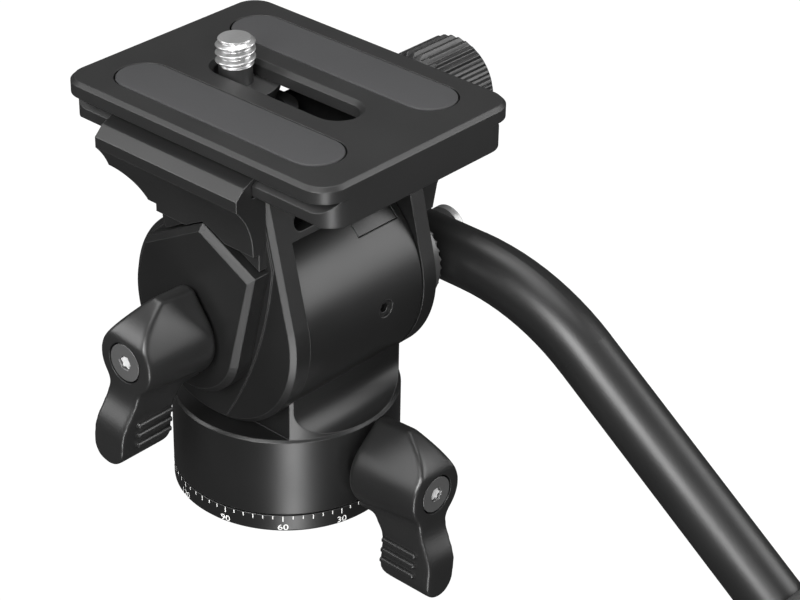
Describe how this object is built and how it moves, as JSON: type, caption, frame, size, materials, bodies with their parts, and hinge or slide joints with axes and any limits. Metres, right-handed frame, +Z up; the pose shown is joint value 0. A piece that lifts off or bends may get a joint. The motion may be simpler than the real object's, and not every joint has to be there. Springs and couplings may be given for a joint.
{
  "type": "fluid video head",
  "caption": "Compact fluid pan and tilt head with a drum in a yoke, dovetail clamp with quick-release plate, wing lock knobs and a cranked pan handle.",
  "frame": {"origin": "middle of the tripod face, at the mouth of the tripod thread", "axes": "+Z up along the pan axis, +Y towards the lens, tilt axis along X with the handle and clamp knob at +X"},
  "size_m": [0.0744, 0.1946, 0.1403],
  "materials": {
    "black_anodised": "black satin anodised",
    "black_satin": "black satin anodised, machined edges",
    "black_plastic": "fine satin moulding",
    "stainless": "bright turned steel",
    "grey_metal": "grey satin steel",
    "brass": "turned brass",
    "rubber": "matt grey-black rubber",
    "foam": "fine-celled foam sleeve",
    "ptfe": "off-white bearing plastic"
  },
  "bodies": {
    "base": {"base_ring": "black_anodised", "pan_spindle": "stainless", "tripod_bush": "brass", "base_screws": "stainless", "pan_thrust_washer": "ptfe", "pan_top_washer": "stainless", "pan_spring": "stainless", "pan_nut": "stainless"},
    "pan_body": {"pan_housing": "black_anodised", "neck_plug": "black_satin", "pan_brake_shoe": "brass", "tilt_bushes": "brass", "tilt_seals": "rubber", "drag_stator_discs": "stainless", "drum_grub_screw": "stainless", "drum_plate": "black_anodised"},
    "pan_lock": {"pan_lock_knob": "black_plastic", "pan_lock_stud": "stainless", "pan_lock_cap": "grey_metal"},
    "tilt_body": {"tilt_yoke": "black_anodised", "fixed_jaw": "black_satin", "jaw_screws": "stainless", "tilt_cover": "black_anodised", "cover_screws": "stainless", "tilt_axle": "stainless", "drag_rotor_discs": "brass", "axle_grub_screws": "stainless", "tilt_spring_washers": "stainless", "handle_rosette": "grey_metal", "jaw_guide_pins": "stainless", "handle_bolt": "stainless"},
    "tilt_lock": {"tilt_lock_knob": "black_plastic", "tilt_lock_insert": "brass", "tilt_lock_cap": "grey_metal"},
    "clamp_jaw": {"movable_jaw": "black_satin"},
    "clamp_control": {"clamp_knob": "black_satin", "clamp_screw": "stainless", "clamp_clip": "stainless"},
    "plate": {"quick_release_plate": "black_anodised", "plate_pads": "rubber"},
    "screw_carrier": {"screw_washer": "stainless"},
    "camera_stud": {"camera_screw": "stainless", "screw_ring": "stainless"},
    "handle": {"handle_plug": "black_satin", "handle_tube": "black_anodised", "handle_washer": "rubber", "handle_grip": "foam", "grip_cap": "black_plastic"}
  },
  "joints": [
    {"name": "pan_turn", "type": "hinge", "parent": "base", "child": "pan_body", "pos_m": [0, 0, 0], "axis": [0, 0, 1], "continuous": true},
    {"name": "pan_lock_turn", "type": "hinge", "parent": "pan_body", "child": "pan_lock", "pos_m": [0, -0.0187, 0.0099], "axis": [0, -1, 0], "range_deg": [-60, 90]},
    {"name": "tilt_turn", "type": "hinge", "parent": "pan_body", "child": "tilt_body", "pos_m": [0, 0, 0.0353], "axis": [1, 0, 0], "range_deg": [-85, 60]},
    {"name": "tilt_lock_turn", "type": "hinge", "parent": "tilt_body", "child": "tilt_lock", "pos_m": [-0.0204, 0, 0.0353], "axis": [-1, 0, 0], "range_deg": [-60, 90]},
    {"name": "clamp_turn", "type": "hinge", "parent": "clamp_jaw", "child": "clamp_control", "pos_m": [0.0275, -0.0023, 0.0574], "axis": [-1, 0, 0], "range_deg": [0, 1080]},
    {"name": "jaw_slide", "type": "slide", "parent": "tilt_body", "child": "clamp_jaw", "axis": [1, 0, 0], "range_m": [0, 0.003]},
    {"name": "plate_slide", "type": "slide", "parent": "tilt_body", "child": "plate", "axis": [0, 1, 0], "range_m": [-0.012, 0.012]},
    {"name": "screw_slide", "type": "slide", "parent": "plate", "child": "screw_carrier", "axis": [0, 1, 0], "range_m": [-0.021, 0]},
    {"name": "screw_turn", "type": "hinge", "parent": "screw_carrier", "child": "camera_stud", "pos_m": [0, 0.0102, 0.07], "axis": [0, 0, 1], "continuous": true},
    {"name": "handle_turn", "type": "hinge", "parent": "tilt_body", "child": "handle", "pos_m": [0.0247, -0.0068, 0.0353], "axis": [1, 0, 0], "range_deg": [-22, 60]}
  ],
  "couplings": [
    {"joint": "jaw_slide", "follows": "clamp_turn", "m_per_rad": 0.00015915}
  ]
}
